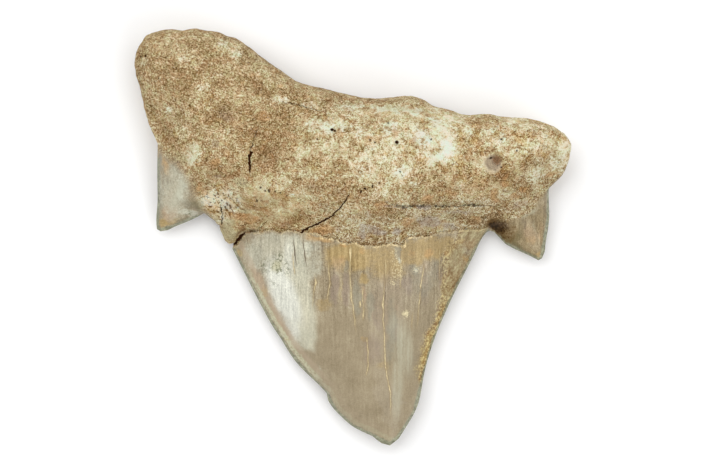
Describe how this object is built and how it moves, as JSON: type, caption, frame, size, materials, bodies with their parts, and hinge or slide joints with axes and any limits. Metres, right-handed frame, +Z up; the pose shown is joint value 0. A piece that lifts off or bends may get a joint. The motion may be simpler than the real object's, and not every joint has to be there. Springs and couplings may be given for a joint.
{
  "type": "fossil shark tooth",
  "caption": "Fossil shark tooth lying on its flatter face: a thick two-lobed root, a triangular main cusp with thin cutting edges, and a small cusplet on each side.",
  "frame": {"origin": "centre of the tooth's bounding box in X and Y, on the table in Z", "axes": "+X across the root from the longer lobe to the shorter one, +Y from the main cusp's tip towards the root, +Z up out of the lingual face"},
  "size_m": [0.06, 0.0574, 0.0156],
  "materials": {
    "fossil": "matt granular root, satin to glossy enamel on the cusps"
  },
  "bodies": {
    "root": {"tooth": "fossil"}
  },
  "joints": []
}
